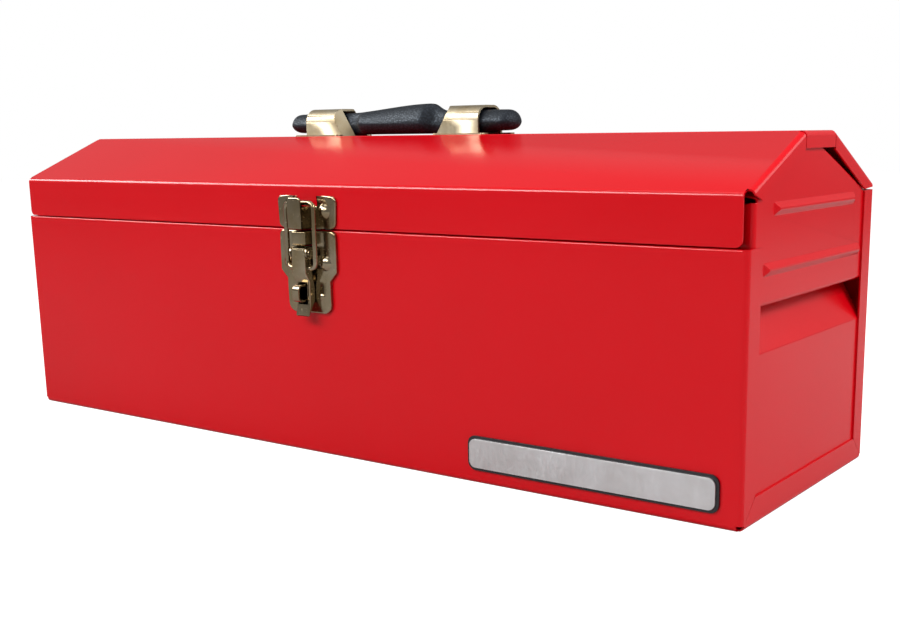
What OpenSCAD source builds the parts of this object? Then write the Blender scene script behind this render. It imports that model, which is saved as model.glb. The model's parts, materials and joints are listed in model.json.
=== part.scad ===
// Hip-roof steel tool box with a draw latch, a strap handle and a lift-out tray.
// Millimetres. X runs along the length, the front faces -Y, Z is up.
// The origin is the middle of the flat base, on the surface that the box stands on.

/* [Body] */
// Length over the end flanges
body_l = 485; // [380:1:600]
// Depth from the front panel to the back panel
body_d = 145; // [125:1:200]
// Height of the front panel
front_h = 118.5; // [108:0.5:124]
// Height of the back panel
back_h = 136.3; // [130:0.1:140]
// Thickness of the body and lid sheet
sheet_t = 0.9; // [0.7:0.1:1.2]
// Inner radius of the bends in the sheet
bend_r = 1.6; // [1:0.1:2.5]
// Width of the flanges that fold over the end panels
flange_w = 12.7; // [10:0.1:15]
// Depth of the hem folded inside the top of the front panel
hem_w = 8; // [5:0.5:9]
// Gap at the mitres and notches between folded flanges
notch_gap = 0.3; // [0.2:0.1:0.6]

/* [End panels] */
// Distance from the front and back panels to the edges of an end panel
panel_inset = 6.5; // [5.5:0.5:9]
// Width of the edges turned into the box
panel_edge_w = 6; // [4:0.5:8]
// Inner radius of an end panel's bends
panel_bend_r = 1.2; // [0.8:0.1:1.6]
// Height of the front corner where the gable starts
gable_front_h = 138.5; // [134:0.1:139]
// Height of the back corner where the gable starts
gable_back_h = 135.9; // [133:0.1:136.5]
// Height of the gable's top
gable_top_h = 160; // [156:0.5:161]
// Distance that the gable's flat top reaches in front of the middle
gable_front_y = 13.5; // [8:0.5:15]
// Distance that the gable's flat top reaches behind the middle
gable_back_y = 1.2; // [0:0.1:10]
// Height of the underside of the tray ledge
ledge_top_h = 93.4; // [88:0.2:98]
// Height where the ledge's lower face meets the panel
ledge_low_h = 74; // [60:0.5:78]
// Depth of the tray ledge
ledge_depth = 11; // [9:0.5:13]
// Height of a stiffening bead
bead_h = 5.6; // [4:0.2:8]
// How far a bead stands proud
bead_proud = 1.8; // [1:0.1:2.4]
// Height of the middle of the upper bead
bead_upper_z = 133.4; // [131:0.1:134]
// Length of the upper bead
bead_upper_l = 94; // [60:1:98]
// Height of the middle of the lower bead
bead_lower_z = 108.7; // [104:0.1:112]
// Length of the lower bead
bead_lower_l = 112; // [60:1:114]

/* [Lid] */
// Height of the flat ridge
ridge_h = 165; // [164:0.5:180]
// Width of the flat ridge
ridge_w = 35; // [34:1:45]
// Height of the front eave, where the skirt starts
eave_h = 141; // [138:0.5:144]
// Gap between the skirt and the body's front panel
seam_gap = 0.7; // [0.5:0.1:1.2]
// Width of the flanges turned down at the ends of the slopes
lid_flange_w = 7.6; // [6:0.2:8]
// Width of the tabs turned down at the ends of the ridge
ridge_tab_w = 7.5; // [6:0.1:9]
// Gap between the lid's end flanges and the end panels
lid_side_gap = 0.3; // [0.3:0.1:0.8]
// Distance from the lid's end to the end of the skirt
skirt_short = 3.4; // [2.5:0.1:4]
// Radius of the skirt's lower corners
skirt_corner_r = 3; // [1:0.5:5]
// Bare length left between an end flange and the front eave
flange_stop = 3.6; // [3.4:0.1:9]
// Length of the slanting corner at the front end of an end flange
flange_chamfer = 5.6; // [1:0.1:7]

/* [Hinge] */
// Distance from the body's ends to the hinge's ends
hinge_inset = 5; // [4:1:40]
// Radius of the knuckles
knuckle_r = 2; // [1.8:0.1:2.4]
// Radius of the hinge pin
hinge_pin_r = 1.1; // [0.9:0.05:1.2]
// Radial clearance between the pin and the knuckles
hinge_fit = 0.08; // [0.04:0.01:0.1]
// Thickness of a hinge leaf
leaf_t = 0.8; // [0.6:0.1:0.9]
// Gap between the two leaves, and between the knuckles and what they turn past
leaf_gap = 0.2; // [0.15:0.05:0.3]
// Number of knuckles, which alternate between the two leaves
knuckles = 15; // [7:2:21]
// Depth of each leaf inside the box
leaf_w = 14; // [10:1:16]

/* [Latch] */
// Width of the base plate
base_w = 39; // [35:0.5:44]
// Height of the base plate
base_plate_h = 42.5; // [40:0.5:46]
// Height of the base plate's wide part
base_wide_h = 21; // [20:0.5:23]
// Width of the base plate's narrow foot
base_foot_w = 30; // [26:0.5:31]
// How far the base plate's face stands off the front panel
base_proud = 2; // [1.8:0.1:2.4]
// Thickness of the latch's sheet
latch_t = 1; // [0.8:0.1:1.2]
// Distance of the pressed dimples from the middle of the latch
dimple_x = 9; // [8:0.5:9.5]
// Height of the dimples above the base plate's lower edge
dimple_rise = 8.8; // [7:0.2:11]
// Radius of a dimple's dome
dimple_r = 2.6; // [1.8:0.1:3]
// Height of a dimple
dimple_h = 0.9; // [0.4:0.1:1.2]
// Gap from the top of the front panel to the base plate
base_drop = 0.4; // [0.3:0.1:0.8]
// How far the raised bridge stands off the front panel
bridge_proud = 8.2; // [7.8:0.1:8.6]
// Height of the raised bridge
bridge_h = 7; // [5:0.5:7.5]
// Width over the bridge, the lever and the keeper's hook
hook_w = 9.4; // [8.6:0.2:10]
// Distance of the pivots and the bail from the front panel
pivot_proud = 6.2; // [6:0.1:6.5]
// Depth of the fulcrum below the top of the front panel
fulcrum_drop = 11.5; // [11.2:0.1:12.5]
// Distance between the fulcrum and the bail's pivot
throw_r = 7.7; // [7.2:0.1:8.2]
// Radius of the fulcrum pin
fulcrum_r = 1.3; // [1.1:0.1:1.5]
// Radial clearance at the latch's pivots
pivot_fit = 0.08; // [0.04:0.01:0.1]
// Clearance between the latch's moving parts
latch_gap = 0.3; // [0.25:0.05:0.4]
// How far the lever's face stands off the front panel
lever_proud = 9; // [8.8:0.1:9.4]
// How far the lever's lower half stands off the front panel
lever_low_proud = 6.2; // [6:0.1:6.6]
// Gap between the lever's side walls and the base plate
lever_rest = 0.6; // [0.5:0.1:1.2]
// How far the lever's finger tip flares out from its lower half
tip_flare = 1.3; // [0.8:0.1:1.8]
// Length of the lever below the fulcrum
lever_l = 32.5; // [31:0.5:34]
// Diameter of the bail's wire
bail_wire = 2.6; // [2.3:0.1:2.8]
// Distance between the middles of the bail's legs
bail_w = 19.4; // [18:0.2:20.6]
// Length of the bail between its pivot and its crossbar
bail_l = 33; // [32:0.5:33.5]
// Width of the keeper plate
keeper_w = 40.5; // [36:0.5:44]
// Height of the keeper plate
keeper_h = 16.4; // [16:0.2:17]
// Width of the notch between the keeper's wings
keeper_notch_w = 15; // [12:0.5:15.5]
// Depth of the notch between the keeper's wings
keeper_notch_h = 5; // [4.8:0.2:5.6]
// How far the keeper's wings stand off the skirt
keeper_proud = 1.6; // [1.4:0.1:2]
// How far the keeper's hook stands off the skirt
hook_proud = 10.6; // [10.4:0.1:11]
// Height of the hook's lip above the bail's crossbar
hook_lip = 1.6; // [1:0.1:2]
// Diameter of the rivet heads
rivet_d = 8; // [7:0.2:8.6]
// Height of a rivet head
rivet_dome = 2.1; // [1.6:0.1:2.3]
// Distance of the rivets from the middle of the latch
rivet_x = 12.4; // [12.2:0.1:13.5]
// Width of the padlock staple's strip
staple_w = 4.4; // [3.6:0.2:5]
// Height of the staple's eye
staple_eye_h = 7; // [6.4:0.1:7.4]
// Inner radius of the staple's corners
staple_r = 2; // [1.2:0.1:2.4]
// How far the staple stands off the front panel
staple_proud = 11.8; // [11.6:0.1:12.4]
// Height of the middle of the staple above the lever's tip
staple_rise = 12; // [11:0.5:13]

/* [Handle] */
// Length of the grip
grip_l = 157; // [140:1:190]
// Width of the grip at the brackets
grip_end_w = 18.4; // [16:0.2:19]
// Width of the grip in the middle
grip_mid_w = 22; // [19.5:0.5:26]
// Height of the grip's top at the brackets, above the ridge
grip_end_h = 12.6; // [11:0.2:13]
// Height of the grip's highest point above the ridge
grip_mid_h = 16.7; // [14:0.1:20]
// Height of the lengthwise crease along the grip's sides, above the ridge
grip_crease_h = 6.3; // [5:0.1:8]
// Width of the grip's necks, where it passes the noses of the brackets
grip_neck_w = 9; // [7:0.2:10]
// Distance of the grip's highest point from the middle
grip_peak_x = 23; // [0:1:24]
// Gap between the grip and the ridge
grip_gap = 0.6; // [0.4:0.1:1.2]
// Distance between the outer ends of the brackets
bracket_span = 122; // [116:1:130]
// Distance from a bracket's outer end to where its side turns in, at the ridge
bracket_l = 27.5; // [24:0.5:30]
// Lean of a bracket's nose, in degrees
bracket_lean = 33; // [10:1:40]
// Length of a bracket's nose
nose_l = 3.8; // [3:0.1:5]
// Height of a bracket
bracket_h = 15; // [14.6:0.1:17]
// Thickness of a bracket
bracket_t = 1.2; // [1:0.1:1.4]
// Gap between the grip and a bracket
bracket_gap = 0.5; // [0.4:0.1:1]
// Width of a bracket's base flange
bracket_flange = 4; // [3.6:0.2:4.4]
// How far the base flange reaches past each end of a bracket
bracket_toe = 6; // [3:0.5:7]
// Lengthwise play of the grip in its brackets, each way
grip_play = 1.5; // [0.5:0.5:2]

// Distance of the handle's middle from the box's middle
handle_x = 2; // [-4:0.5:4]

/* [Tray] */
// Depth of the tray from front to back
tray_d = 124; // [100:1:125]
// Height of the tray
tray_h = 34; // [25:1:38]
// Gap between the tray and the end panels
tray_gap = 1.7; // [1:0.1:3]
// Gap between the tray and its ledges
tray_seat = 0.3; // [0.2:0.1:0.4]
// Thickness of the tray's sheet
tray_t = 0.8; // [0.7:0.1:1]
// Depth of the hems along the tray's rims
tray_hem = 5; // [3:0.5:7]
// Width of the turned edges on the tray's ends
tray_lip_w = 7; // [5:0.5:9]
// Width of the foot of each divider
divider_foot_w = 12; // [8:0.5:16]
// Height of the dividers
divider_h = 27; // [15:1:30]
// Distance of each divider from the middle
divider_x = 95; // [50:1:150]
// Width of the tray's handle strap
strap_w = 18; // [14:1:24]
// Thickness of the tray's handle strap
strap_t = 1.5; // [1:0.1:2]
// Gap between the handle strap's top and the underside of the ridge
strap_clear = 11.5; // [9:0.5:16]
// Width of the handle strap's flat top
strap_top_w = 44; // [36:1:56]
// Height from the rim to where the strap's shoulders start
strap_shoulder = 4; // [2:0.5:6]

/* [Name plate] */
// Length of the blank plate
plate_l = 132; // [60:1:135]
// Height of the blank plate
plate_h = 17; // [8:0.5:18]
// Distance from the plate's middle to the body's right end
plate_end_gap = 76; // [75:1:100]
// Height of the plate's middle
plate_z = 15.5; // [13:0.5:30]
// Thickness of the plate's dark backing
plate_back_t = 1.2; // [0.8:0.1:2]
// Thickness of the plate's bright face
plate_face_t = 0.9; // [0.5:0.1:1.5]
// Width of the dark rim round the bright face
plate_rim = 1.4; // [1:0.1:2]

/* [Hidden] */
$fn = 48;

enamel = "crimson";
plated = "#b9b3a6";
steel = "#8d8d8f";
black = "#1c1d20";

// Steps in each bend of a folded profile, the length that cuts run past a face, and the
// overlap that joins an edge to its panel
bend_steps = 7;
past = 1;
lap = 0.4;

// Planes of the body and the lid
end_x = body_l / 2;
front_y = -body_d / 2;
back_y = body_d / 2;
bend_out = bend_r + sheet_t;
lid_x = end_x + lid_side_gap;
panel_x = end_x - sheet_t;
panel_y = body_d / 2 - panel_inset;
panel_bend = panel_bend_r + sheet_t;
sheet_hold = bend_out + lap / 2;

// Roof: the back slope is set so that it ends just over the stacked hinge leaves
half_ridge = ridge_w / 2;
roof_run = body_d / 2 - half_ridge;
front_slope = atan2(ridge_h - eave_h, roof_run);
front_slope_l = roof_run / cos(front_slope);
back_eave_in = back_h + 2 * leaf_t + leaf_gap;
back_fall = ridge_h - back_eave_in;
back_slope = atan2(back_fall, roof_run) - asin(sheet_t / norm([roof_run, back_fall]));
back_end = [back_y + sheet_t * sin(back_slope), back_eave_in + sheet_t * cos(back_slope)];
back_slope_l = norm([back_end[0] - half_ridge, ridge_h - back_end[1]]);
// Hold at the free edge of the back slope's flange, so that it ends above the body's flange
back_flange_hold = (back_h + seam_gap - back_end[1] + lid_flange_w * cos(back_slope))
    / sin(back_slope);
skirt_low = front_h + seam_gap;

// Hinge axis, just outside the back panel
hinge_l = body_l - 2 * hinge_inset;
hinge_y = back_y + leaf_gap + knuckle_r;
hinge_z = back_h + leaf_t + leaf_gap / 2;
knuckle_pitch = hinge_l / knuckles;

// Latch planes and points
latch_top = front_h - base_drop;
latch_bottom = latch_top - base_plate_h;
pivot_y = front_y - pivot_proud;
fulcrum_z = front_h - fulcrum_drop;
bail_z = fulcrum_z - throw_r;
bar_z = bail_z + bail_l;
keeper_top = skirt_low + keeper_h;
rest_z = bar_z - bail_wire / 2 - latch_gap;
lip_z = bar_z + bail_wire / 2 + hook_lip;
base_rivet_z = fulcrum_z - 5.2;
keeper_rivet_z = skirt_low + keeper_h / 2 + 0.4;
lever_in = hook_w / 2 - latch_t;
lever_wall = 2.4;
rivet_shank = 1.6;
rivet_fit = 0.05;
staple_z = fulcrum_z - lever_l + staple_rise;
slot_half_w = staple_w / 2 + latch_gap + 0.2;
slot_half_h = staple_eye_h / 2 + latch_t + latch_gap + 0.6;

// Handle planes
bracket_half_w = grip_end_w / 2 + bracket_gap + bracket_t;
bracket_x1 = bracket_span / 2;
bracket_x0 = bracket_x1 - bracket_l;
neck_half = grip_neck_w / 2 + bracket_gap;
nose_low_x = bracket_x0 - nose_l / cos(bracket_lean);
nose_top_x = bracket_x0 + bracket_h * tan(bracket_lean) + bracket_t;
tab_l = 8;
tab_x = bracket_x1 - 9;
tab_fit = 0.1;
foot_t = 0.8;
core_half_l = bracket_span / 2 + 6;
core_w = 5.6;
core_t = 1.6;

// Tray planes
ledge_seat_z = ledge_top_h + sheet_t;
tray_z = ledge_seat_z + tray_seat;
tray_x = panel_x - sheet_t - tray_gap;
tray_rim_z = tray_z + tray_h;
strap_y = tray_d / 2 - 2 * tray_t;
strap_rivet_z = tray_rim_z - 12;

// ---------- helpers ----------

// Lays a profile drawn in (Y, Z) along X, from x0 over the length
module along_x(x0, length) {
    translate([x0, 0, 0]) rotate([90, 0, 90]) linear_extrude(length) children();
}

// Lays an outline drawn in (X, Z) along -Y, from the plane y0 over the depth
module along_front(y0, depth) {
    translate([0, y0, 0]) rotate([90, 0, 0]) linear_extrude(depth) children();
}

// A straight bar, pin or wire along X
module bar_x(x0, length, y, z, r) {
    translate([x0, y, z]) rotate([0, 90, 0]) cylinder(h = length, r = r);
}

// Rectangle with arcs at its corners
module rounded_rect(w, h, r) {
    square([w - 2 * r, h], center = true);
    square([w, h - 2 * r], center = true);
    for (sx = [-1, 1], sy = [-1, 1]) {
        translate([sx * (w / 2 - r), sy * (h / 2 - r)]) circle(r);
    }
}

function unit(v) = v / norm(v);
function left_of(v) = [-v[1], v[0]];
function turned(v, a) = [v[0] * cos(a) - v[1] * sin(a), v[0] * sin(a) + v[1] * cos(a)];
function turn_sign(a, b) = a[0] * b[1] - a[1] * b[0] >= 0 ? 1 : -1;
function backwards(list) = [for (i = [len(list) - 1:-1:0]) list[i]];

// Points of the bend at corner p1 of a folded sheet, at distance e to the left of the path
function bend_points(p0, p1, p2, r, t, e) =
    let (d0 = unit(p1 - p0), d1 = unit(p2 - p1), s = turn_sign(d0, d1),
        angle = acos(d0 * d1), path_r = s > 0 ? r + t : r,
        centre = p1 - d0 * path_r * tan(angle / 2) + left_of(d0) * s * path_r)
    [for (k = [0:bend_steps])
        centre + turned(-s * left_of(d0), s * angle * k / bend_steps) * (path_r - s * e)];

// One side of a folded sheet
function fold_side(path, r, t, e) =
    let (n = len(path) - 1)
    concat([path[0] + left_of(unit(path[1] - path[0])) * e],
        n < 2 ? [] : [for (i = [1:n - 1])
            each bend_points(path[i - 1], path[i], path[i + 1], r, t, e)],
        [path[n] + left_of(unit(path[n] - path[n - 1])) * e]);

// A folded sheet of thickness t to the left of the path, with inner bend radius r
module folded(path, r, t) {
    polygon(concat(fold_side(path, r, t, 0), backwards(fold_side(path, r, t, t))));
}

// A flange turned down along an edge that runs in +X. The panel is at y < 0 and z < 0, and
// the flange hangs in the plane y = 0. e0 and e1 hold back its two ends at the bend,
// m0 and m1 at its free edge.
module turned_edge(length, w, r, t, e0, e1, m0, m1) {
    difference() {
        rotate([90, 0, 90]) linear_extrude(length) edge_profile(w, r, t);
        if (m0 > 0) end_cut(w, r + t, e0, m0);
        if (m1 > 0) translate([length, 0, 0]) mirror([1, 0, 0]) end_cut(w, r + t, e1, m1);
    }
}

// Section of a turned edge, with the lap that joins it to its panel
module edge_profile(w, r, t) {
    out = r + t;
    translate([-out - lap, -t]) square([lap, t]);
    translate([-out, -out]) difference() {
        intersection() {
            circle(out);
            square(out + past);
        }
        circle(r);
    }
    translate([-t, -w]) square([t, w - out]);
}

// What is cut off at the end of a turned edge
module end_cut(w, out, e, m) {
    run = (m - e) / (w - out);
    translate([0, past, 0]) rotate([90, 0, 0]) linear_extrude(out + lap + 2 * past) {
        polygon([[-past, past], [e, past], [e, -out - 0.2], [m + run * past, -w - past],
            [-past, -w - past]]);
    }
}

// A turned edge at the right end of a panel that faces up when a = 0, front when a = 90,
// down when a = 180 and back when a = 270
module end_edge(a, x, y, z, length, w, t, e0, e1, m0, m1) {
    translate([x, y, z]) rotate([a, 0, 0]) rotate([0, 0, -90]) {
        turned_edge(length, w, bend_r, t, e0, e1, m0, m1);
    }
}

// Corners of a convex outline moved in by d
function inset(points, d) =
    let (n = len(points))
    [for (i = [0:n - 1])
        let (p = points[i], n0 = left_of(unit(p - points[(i + n - 1) % n])),
            n1 = left_of(unit(points[(i + 1) % n] - p)))
        p + d * (n0 + n1) / (1 + n0 * n1)];

// A flat panel in XY below z = 0, with the listed edges turned down
module pan(points, edges, w, r, t) {
    n = len(points);
    out = r + t;
    flat = inset(points, out + lap / 2);
    translate([0, 0, -t]) linear_extrude(t) polygon(flat);
    for (i = edges) {
        a = points[i];
        b = points[(i + 1) % n];
        fa = flat[i];
        fb = flat[(i + 1) % n];
        dir = unit(b - a);
        hold_a = (fa - a) * dir + notch_gap;
        hold_b = (b - fb) * dir + notch_gap;
        translate([b[0], b[1], 0]) rotate([0, 0, atan2(dir[1], dir[0]) + 180]) {
            turned_edge(norm(b - a), w, r, t, hold_b, hold_a, hold_b + 1, hold_a + 1);
        }
    }
}

// ---------- body ----------

// Front, bottom and back in one sheet, with flanges that fold over the end panels
module body_shell() {
    outline = [[front_y, front_h - sheet_t], [front_y, 0], [back_y, 0], [back_y, back_h]];
    mitre = flange_w + notch_gap;
    bend_end = bend_out + notch_gap;
    color(enamel) difference() {
        union() {
            along_x(-end_x + sheet_hold, body_l - 2 * sheet_hold) {
                folded(outline, bend_r, sheet_t);
                hem_outline();
            }
            for (side = [0, 1]) mirror([side, 0, 0]) {
                end_edge(90, end_x, front_y, front_h, front_h, flange_w, sheet_t,
                    0, bend_end, 0, mitre);
                end_edge(180, end_x, front_y, 0, body_d, flange_w, sheet_t,
                    bend_end, bend_end, mitre, mitre);
                end_edge(270, end_x, back_y, 0, back_h, flange_w, sheet_t,
                    bend_end, 0, mitre, 0);
            }
        }
        rivet_holes(base_rivet_z, front_y);
    }
}

// The folded hem at the top of the front panel
module hem_outline() {
    translate([front_y + sheet_t, front_h - sheet_t]) circle(sheet_t);
    translate([front_y + sheet_t, front_h - hem_w]) square([sheet_t, hem_w - sheet_t]);
}

// Holes for a pair of rivets through whatever lies at the plane y
module rivet_holes(z, y) {
    for (side = [-1, 1]) translate([side * rivet_x, y + 4 * sheet_t, z]) rotate([90, 0, 0]) {
        cylinder(h = 4 * sheet_t + base_proud + past, r = rivet_shank + rivet_fit);
    }
}

// Outline of the flat upper and lower parts of an end panel, in (Y, Z)
function upper_panel_points() =
    [[-panel_y, ledge_top_h], [panel_y, ledge_top_h],
        [panel_y, gable_back_h], [gable_back_y, gable_top_h],
        [-gable_front_y, gable_top_h], [-panel_y, gable_front_h]];
function lower_panel_points() =
    [[-panel_y, sheet_t], [panel_y, sheet_t], [panel_y, ledge_low_h + 1],
        [-panel_y, ledge_low_h + 1]];

// A pressed bead on an end panel: its outer faces, moved in by shift
module bead(z, length, shift) {
    half = bead_h / 2;
    translate([panel_x - shift, 0, z]) intersection() {
        translate([0, length / 2, 0]) rotate([90, 0, 0]) linear_extrude(length) {
            polygon([[-past, -half], [0, -half], [bead_proud, -bead_h / 12],
                [bead_proud, bead_h / 12], [0, half], [-past, half]]);
        }
        translate([0, 0, -half]) linear_extrude(bead_h) {
            polygon([[-past, -length / 2], [0, -length / 2], [bead_proud, half - length / 2],
                [bead_proud, length / 2 - half], [0, length / 2], [-past, length / 2]]);
        }
    }
}

// The end panel on the right: two flats with turned edges, the ledge between them, and beads
module end_panel_right() {
    flat_end = panel_bend + 2;
    ledge_path = [[panel_x, ledge_low_h - flat_end], [panel_x, ledge_low_h],
        [panel_x - ledge_depth, ledge_top_h], [panel_x, ledge_top_h],
        [panel_x, ledge_top_h + flat_end]];
    color(enamel) difference() {
        union() {
            translate([panel_x, 0, 0]) rotate([90, 0, 90]) {
                pan(upper_panel_points(), [1, 2, 3, 4, 5], panel_edge_w, panel_bend_r, sheet_t);
                pan(lower_panel_points(), [0, 1, 3], panel_edge_w, panel_bend_r, sheet_t);
            }
            translate([0, panel_y - panel_bend, 0]) rotate([90, 0, 0]) {
                linear_extrude(2 * (panel_y - panel_bend)) {
                    folded(ledge_path, panel_bend_r, sheet_t);
                }
            }
            bead(bead_upper_z, bead_upper_l, 0);
            bead(bead_lower_z, bead_lower_l, 0);
        }
        bead(bead_upper_z, bead_upper_l, sheet_t);
        bead(bead_lower_z, bead_lower_l, sheet_t);
    }
}

module end_panel_left() {
    mirror([1, 0, 0]) end_panel_right();
}

// ---------- hinge ----------

// True for the knuckles that belong to the body's leaf
function on_body(i) = i % 2 == 0;

// The knuckles of one leaf
module knuckle_row(body_side) {
    for (i = [0:knuckles - 1]) {
        if (on_body(i) == body_side) {
            bar_x(-hinge_l / 2 + i * knuckle_pitch + leaf_gap / 2, knuckle_pitch - leaf_gap,
                hinge_y, hinge_z, knuckle_r);
        }
    }
}

// Room that one leaf leaves round the other leaf's knuckles
module knuckle_room(body_side) {
    room_r = knuckle_r + leaf_gap + 0.1;
    for (i = [0:knuckles - 1]) {
        if (on_body(i) == body_side) {
            translate([-hinge_l / 2 + i * knuckle_pitch - leaf_gap / 2, hinge_y - room_r,
                hinge_z - room_r]) {
                cube([knuckle_pitch + leaf_gap, 2 * room_r, 2 * room_r]);
            }
        }
    }
}

module hinge_bore() {
    bar_x(-hinge_l / 2 - past, hinge_l + 2 * past, hinge_y, hinge_z, hinge_pin_r + hinge_fit);
}

// The leaf that lies over the back panel's top edge and down its inside
module hinge_leaf_body() {
    inside = back_y - sheet_t;
    color(steel) difference() {
        union() {
            difference() {
                along_x(-hinge_l / 2, hinge_l) {
                    translate([inside - leaf_t, back_h]) {
                        square([hinge_y - inside + leaf_t, leaf_t]);
                    }
                    translate([inside - leaf_t, back_h + leaf_t - leaf_w]) {
                        square([leaf_t, leaf_w]);
                    }
                }
                knuckle_room(false);
            }
            knuckle_row(true);
        }
        hinge_bore();
    }
}

// The leaf that runs in over the body's leaf and up under the back slope
module hinge_leaf_lid() {
    color(steel) difference() {
        union() {
            difference() {
                along_x(-hinge_l / 2, hinge_l) {
                    translate([back_y - leaf_t / 2, back_eave_in - leaf_t]) {
                        square([hinge_y - back_y + leaf_t / 2, leaf_t]);
                    }
                    translate([back_y, back_eave_in]) rotate(180 - back_slope) {
                        square([leaf_w, leaf_t]);
                    }
                }
                knuckle_room(true);
            }
            knuckle_row(false);
        }
        hinge_bore();
    }
}

module hinge_pin() {
    color(steel) bar_x(-hinge_l / 2, hinge_l, hinge_y, hinge_z, hinge_pin_r);
}

// ---------- lid ----------

// How far a slope's flange is held back, w below its outer face, to hang clear of the ridge tab
function beside_tab(w, slope) = (w * sin(slope) + notch_gap) / cos(slope);

// Skirt, front slope, ridge and back slope in one sheet, with flanges turned down at the ends
module lid_shell() {
    outline = [back_end, [half_ridge, ridge_h], [-half_ridge, ridge_h], [front_y, eave_h],
        [front_y, skirt_low]];
    skirt_x = lid_x - skirt_short;
    tab_gap = notch_gap + 0.1;
    color(enamel) difference() {
        union() {
            difference() {
                along_x(-lid_x + sheet_hold, 2 * (lid_x - sheet_hold)) {
                    folded(outline, bend_r, sheet_t);
                }
                for (side = [0, 1]) mirror([side, 0, 0]) skirt_end(skirt_x);
            }
            for (side = [0, 1]) mirror([side, 0, 0]) {
                end_edge(front_slope, lid_x, -half_ridge, ridge_h, front_slope_l, lid_flange_w,
                    sheet_t, beside_tab(bend_out, front_slope), flange_stop,
                    beside_tab(lid_flange_w, front_slope),
                    flange_stop + flange_chamfer);
                end_edge(0, lid_x, half_ridge, ridge_h, ridge_w, ridge_tab_w, sheet_t,
                    tab_gap, tab_gap, tab_gap, tab_gap);
                end_edge(360 - back_slope, lid_x, back_end[0], back_end[1], back_slope_l,
                    lid_flange_w, sheet_t, flange_stop - 1, beside_tab(bend_out, back_slope),
                    back_flange_hold, beside_tab(lid_flange_w, back_slope));
            }
        }
        rivet_holes(keeper_rivet_z, front_y);
        translate([handle_x, 0, 0]) for (side = [0, 1]) mirror([side, 0, 0]) bracket_slots();
    }
}

// What is cut off beyond the skirt's end: the skirt, the eave's bend and a rounded low corner
module skirt_end(skirt_x) {
    r = skirt_corner_r;
    translate([skirt_x, front_y - past, skirt_low - past]) {
        cube([lid_x, bend_out + 2 * past, eave_h - skirt_low + 4 * past]);
    }
    along_front(front_y + bend_out, bend_out + past) difference() {
        translate([skirt_x - r, skirt_low - past]) square([r + past, r + past]);
        translate([skirt_x - r, skirt_low + r]) circle(r);
    }
}

// ---------- latch ----------

// Outline of the base plate, moved in by d, in (X, Z)
module base_outline(d) {
    top = latch_top - d;
    bottom = latch_bottom + d;
    half = base_w / 2 - d;
    foot = base_foot_w / 2 - d;
    waist = latch_top - base_wide_h;
    step = half - foot;
    r = 3 - d / 2;
    foot_r = 5 - d / 2;
    translate([-half + r, waist]) square([2 * (half - r), top - waist]);
    translate([-half, waist]) square([2 * half, top - waist - r]);
    for (side = [-1, 1]) {
        translate([side * (half - r), top - r]) circle(r);
        translate([side * (foot - foot_r), bottom + foot_r]) circle(foot_r);
    }
    polygon([[-half, waist], [half, waist], [foot, waist - step], [-foot, waist - step]]);
    translate([-foot, bottom + foot_r]) square([2 * foot, waist - step - bottom - foot_r]);
    translate([-foot + foot_r, bottom]) square([2 * (foot - foot_r), waist - step - bottom]);
}

// The base plate: a shallow pressed pan with a raised bridge and the two fulcrum ears
module latch_base() {
    face_y = front_y - base_proud;
    ear_r = fulcrum_r + 1.6;
    ear_x = hook_w / 2 + latch_gap;
    bridge_half = hook_w / 2;
    bridge_low = latch_top - bridge_h;
    color(plated) difference() {
        union() {
            difference() {
                along_front(front_y, base_proud) base_outline(0);
                along_front(front_y + past, base_proud - latch_t + past) base_outline(latch_t);
            }
            rivet_seats(base_rivet_z, front_y, base_proud - latch_t);
            translate([-bridge_half, front_y - bridge_proud, bridge_low]) {
                cube([2 * bridge_half, bridge_proud - base_proud + latch_t / 2, bridge_h]);
            }
            for (side = [-1, 1]) {
                ear(side * (ear_x + latch_t / 2), ear_r, face_y);
                dimple(side * dimple_x, face_y);
            }
        }
        translate([-bridge_half + latch_t, front_y - bridge_proud + latch_t, bridge_low - past]) {
            cube([2 * (bridge_half - latch_t), bridge_proud, bridge_h - latch_t + past]);
        }
        rivet_holes(base_rivet_z, front_y);
        bar_x(-base_w / 2, base_w, pivot_y, fulcrum_z, fulcrum_r + pivot_fit);
        staple_feet(pivot_fit);
    }
}

// Solid backing under a pair of rivets, between the sheet and a pressed plate
module rivet_seats(z, y, depth) {
    for (side = [-1, 1]) translate([side * rivet_x, y, z]) rotate([90, 0, 0]) {
        cylinder(h = depth, r = rivet_shank + 1.2);
    }
}

// A pressed dimple in the base plate's foot
module dimple(x, face_y) {
    intersection() {
        translate([x, face_y + dimple_r - dimple_h, latch_bottom + dimple_rise]) sphere(dimple_r);
        translate([x - dimple_r, face_y - past, latch_bottom]) {
            cube([2 * dimple_r, past + latch_t / 2, base_wide_h]);
        }
    }
}

// One fulcrum ear, standing on the base plate
module ear(x, r, face_y) {
    translate([x - latch_t / 2, 0, 0]) {
        bar_x(0, latch_t, pivot_y, fulcrum_z, r);
        translate([0, pivot_y, fulcrum_z - r]) cube([latch_t, face_y - pivot_y + latch_t / 2, 2 * r]);
    }
}

// A rivet with a domed head, seen from the front, and its bucked tail inside the sheet
module rivet(x, z, seat, y) {
    dome_r = (pow(rivet_d / 2, 2) + pow(rivet_dome, 2)) / (2 * rivet_dome);
    translate([x, y, z]) rotate([90, 0, 0]) {
        translate([0, 0, -2 * sheet_t]) cylinder(h = 2 * sheet_t + seat, r = rivet_shank);
        translate([0, 0, -sheet_t - 1.4]) cylinder(h = 1.4, r = rivet_shank + 1);
        intersection() {
            translate([0, 0, seat + rivet_dome - dome_r]) sphere(dome_r);
            translate([0, 0, seat]) cylinder(h = rivet_dome + past, r = rivet_d);
        }
    }
}

module latch_base_rivets() {
    color(plated) for (side = [-1, 1]) rivet(side * rivet_x, base_rivet_z, base_proud, front_y);
}

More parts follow.
